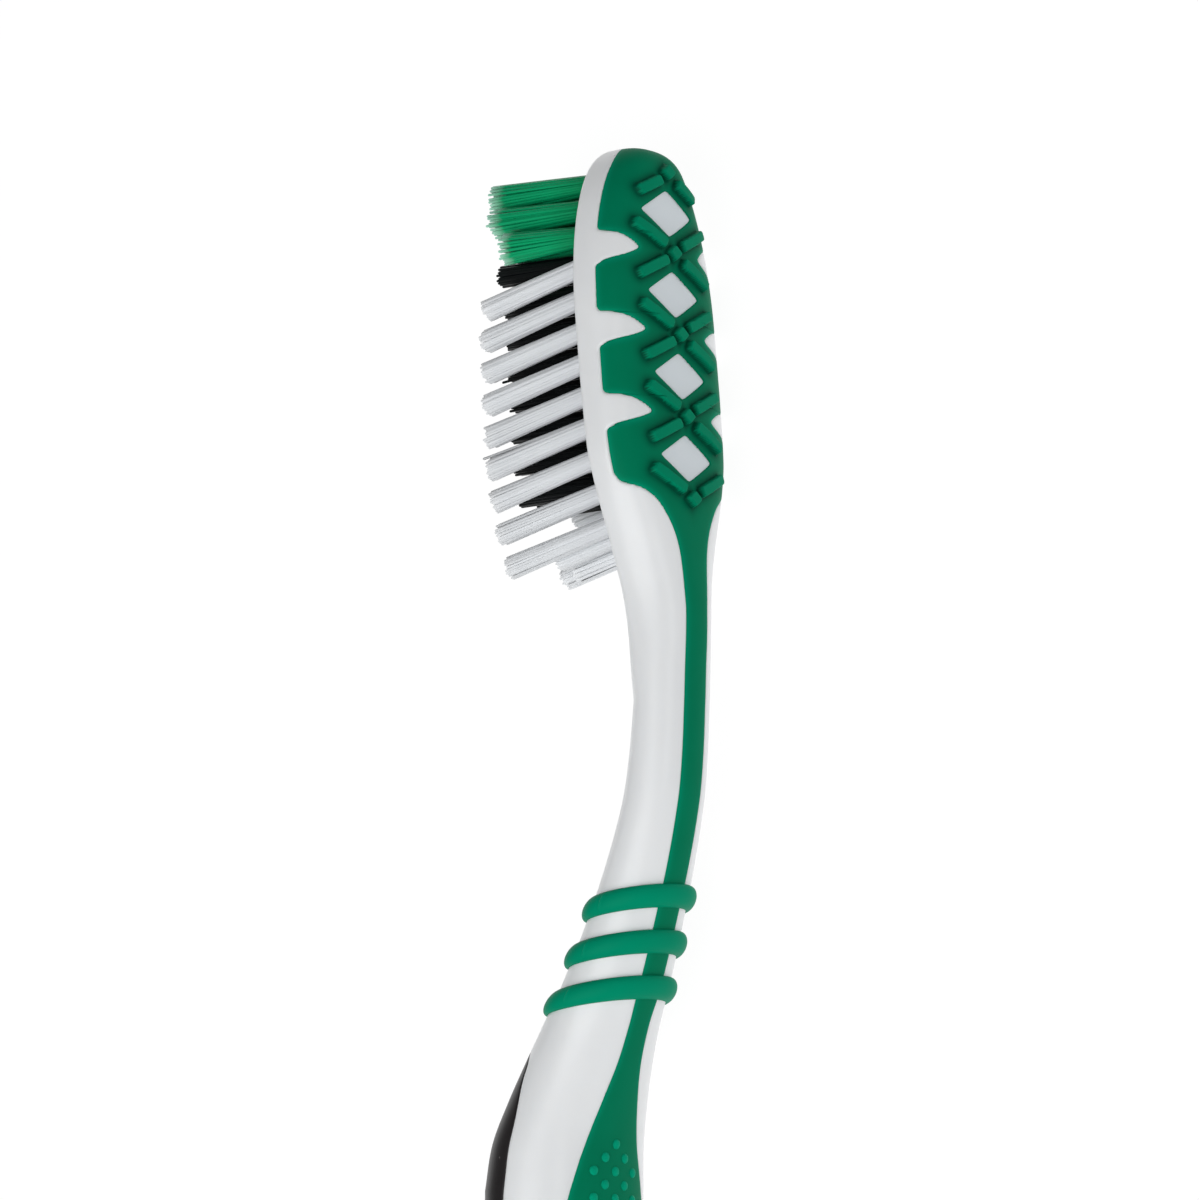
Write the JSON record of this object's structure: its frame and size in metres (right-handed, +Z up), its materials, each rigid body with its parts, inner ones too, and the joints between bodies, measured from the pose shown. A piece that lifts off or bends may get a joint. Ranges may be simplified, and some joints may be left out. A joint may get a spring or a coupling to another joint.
{
  "type": "manual toothbrush",
  "caption": "Manual toothbrush with a bent neck, angled bristle tufts, a soft tongue cleaner on the head's back, soft rings round the neck and soft grips on the handle, lying on its side.",
  "frame": {"origin": "middle of the brush's box, on the plane that the brush lies on", "axes": "+X along the handle towards the tip of the head, +Y towards the side that the bristles point to, +Z up, square to the side that the brush lies on"},
  "size_m": [0.1897, 0.0212, 0.014],
  "materials": {
    "handle_plastic": "moulded white polypropylene, half gloss",
    "green_elastomer": "moulded green elastomer, satin",
    "black_elastomer": "moulded black elastomer, satin",
    "green_filament": "drawn green nylon filament, glossy and slightly clear",
    "black_filament": "drawn black nylon filament, glossy",
    "white_filament": "drawn white nylon filament, glossy and slightly clear",
    "anchor_metal": "rolled nickel silver wire, cut and bright"
  },
  "bodies": {
    "root": {"handle_core": "handle_plastic", "tongue_cleaner_pad": "green_elastomer", "neck_stripe": "green_elastomer", "neck_ring_upper": "green_elastomer", "neck_ring_middle": "green_elastomer", "neck_ring_lower": "green_elastomer", "back_grip": "green_elastomer", "thumb_grip": "black_elastomer", "tip_tufts": "green_filament", "inner_tufts_left": "black_filament", "inner_tufts_center": "black_filament", "inner_tufts_right": "black_filament", "side_tufts_left": "white_filament", "side_tufts_right": "white_filament", "heel_tufts": "white_filament", "tip_staples": "anchor_metal", "inner_staples_left": "anchor_metal", "inner_staples_center": "anchor_metal", "inner_staples_right": "anchor_metal", "side_staples_left": "anchor_metal", "side_staples_right": "anchor_metal", "heel_staples": "anchor_metal"}
  },
  "joints": []
}
